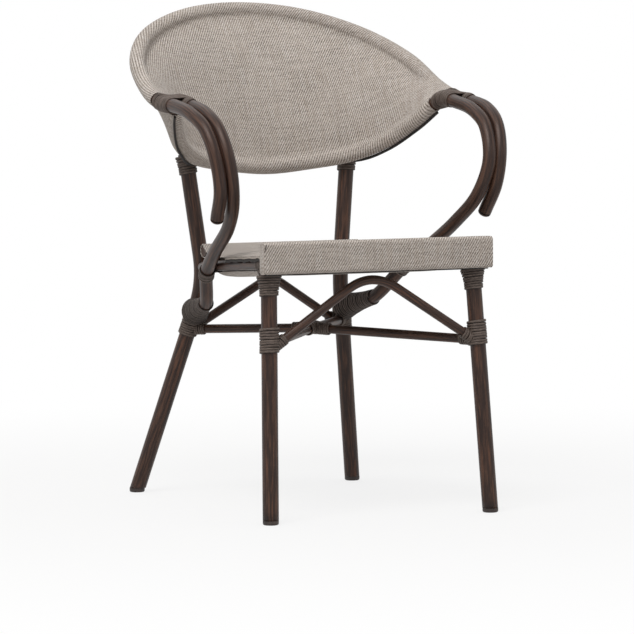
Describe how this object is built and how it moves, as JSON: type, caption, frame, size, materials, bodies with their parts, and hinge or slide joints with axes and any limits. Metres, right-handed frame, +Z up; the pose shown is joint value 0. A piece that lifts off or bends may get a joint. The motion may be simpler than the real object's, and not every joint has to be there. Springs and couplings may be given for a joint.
{
  "type": "stacking bistro armchair",
  "caption": "Stacking armchair with a bent tube frame in bamboo look, strip-bound joints and mesh fabric sleeves for the curved back and the seat.",
  "frame": {"origin": "centre of the bounding box's underside, on the floor", "axes": "+X to the right as seen from in front of the chair, +Y from the front feet to the back, +Z up"},
  "size_m": [0.5637, 0.5922, 0.8278],
  "materials": {
    "tube": "satin, mottled brown bamboo look",
    "glide": "matte black",
    "fabric": "coarse mesh weave, grey beige with dark threads",
    "edge": "dark woven edge tape",
    "strip": "dark rattan strip, wound"
  },
  "bodies": {
    "root": {"back_top_rail": "tube", "back_bottom_rail": "tube", "inner_arm_tube_left": "tube", "inner_arm_tube_right": "tube", "outer_arm_tube_left": "tube", "outer_arm_tube_right": "tube", "outer_arm_cap_left": "tube", "outer_arm_cap_right": "tube", "rear_post_left": "tube", "rear_post_right": "tube", "front_leg_left": "tube", "front_leg_right": "tube", "side_rail_left": "tube", "side_rail_right": "tube", "front_rail": "tube", "rear_rail": "tube", "front_brace": "tube", "rear_brace": "tube", "stretcher_long": "tube", "stretcher_half_front": "tube", "stretcher_half_rear": "tube", "foot_glide_front_left": "glide", "foot_glide_front_right": "glide", "foot_glide_rear_left": "glide", "foot_glide_rear_right": "glide", "back_sleeve": "fabric", "seat_sleeve": "fabric", "back_edge_strip": "edge", "seat_edge_tape_left": "edge", "seat_edge_tape_right": "edge", "apron_edge_strip": "edge", "front_joint_binding_left": "strip", "front_joint_binding_right": "strip", "rear_joint_binding_left": "strip", "rear_joint_binding_right": "strip", "stretcher_binding": "strip", "front_leg_binding_left": "strip", "front_leg_binding_right": "strip", "post_top_binding_left": "strip", "post_top_binding_right": "strip", "seat_arm_binding_left": "strip", "seat_arm_binding_right": "strip", "arm_binding_left": "strip", "arm_binding_right": "strip"}
  },
  "joints": []
}
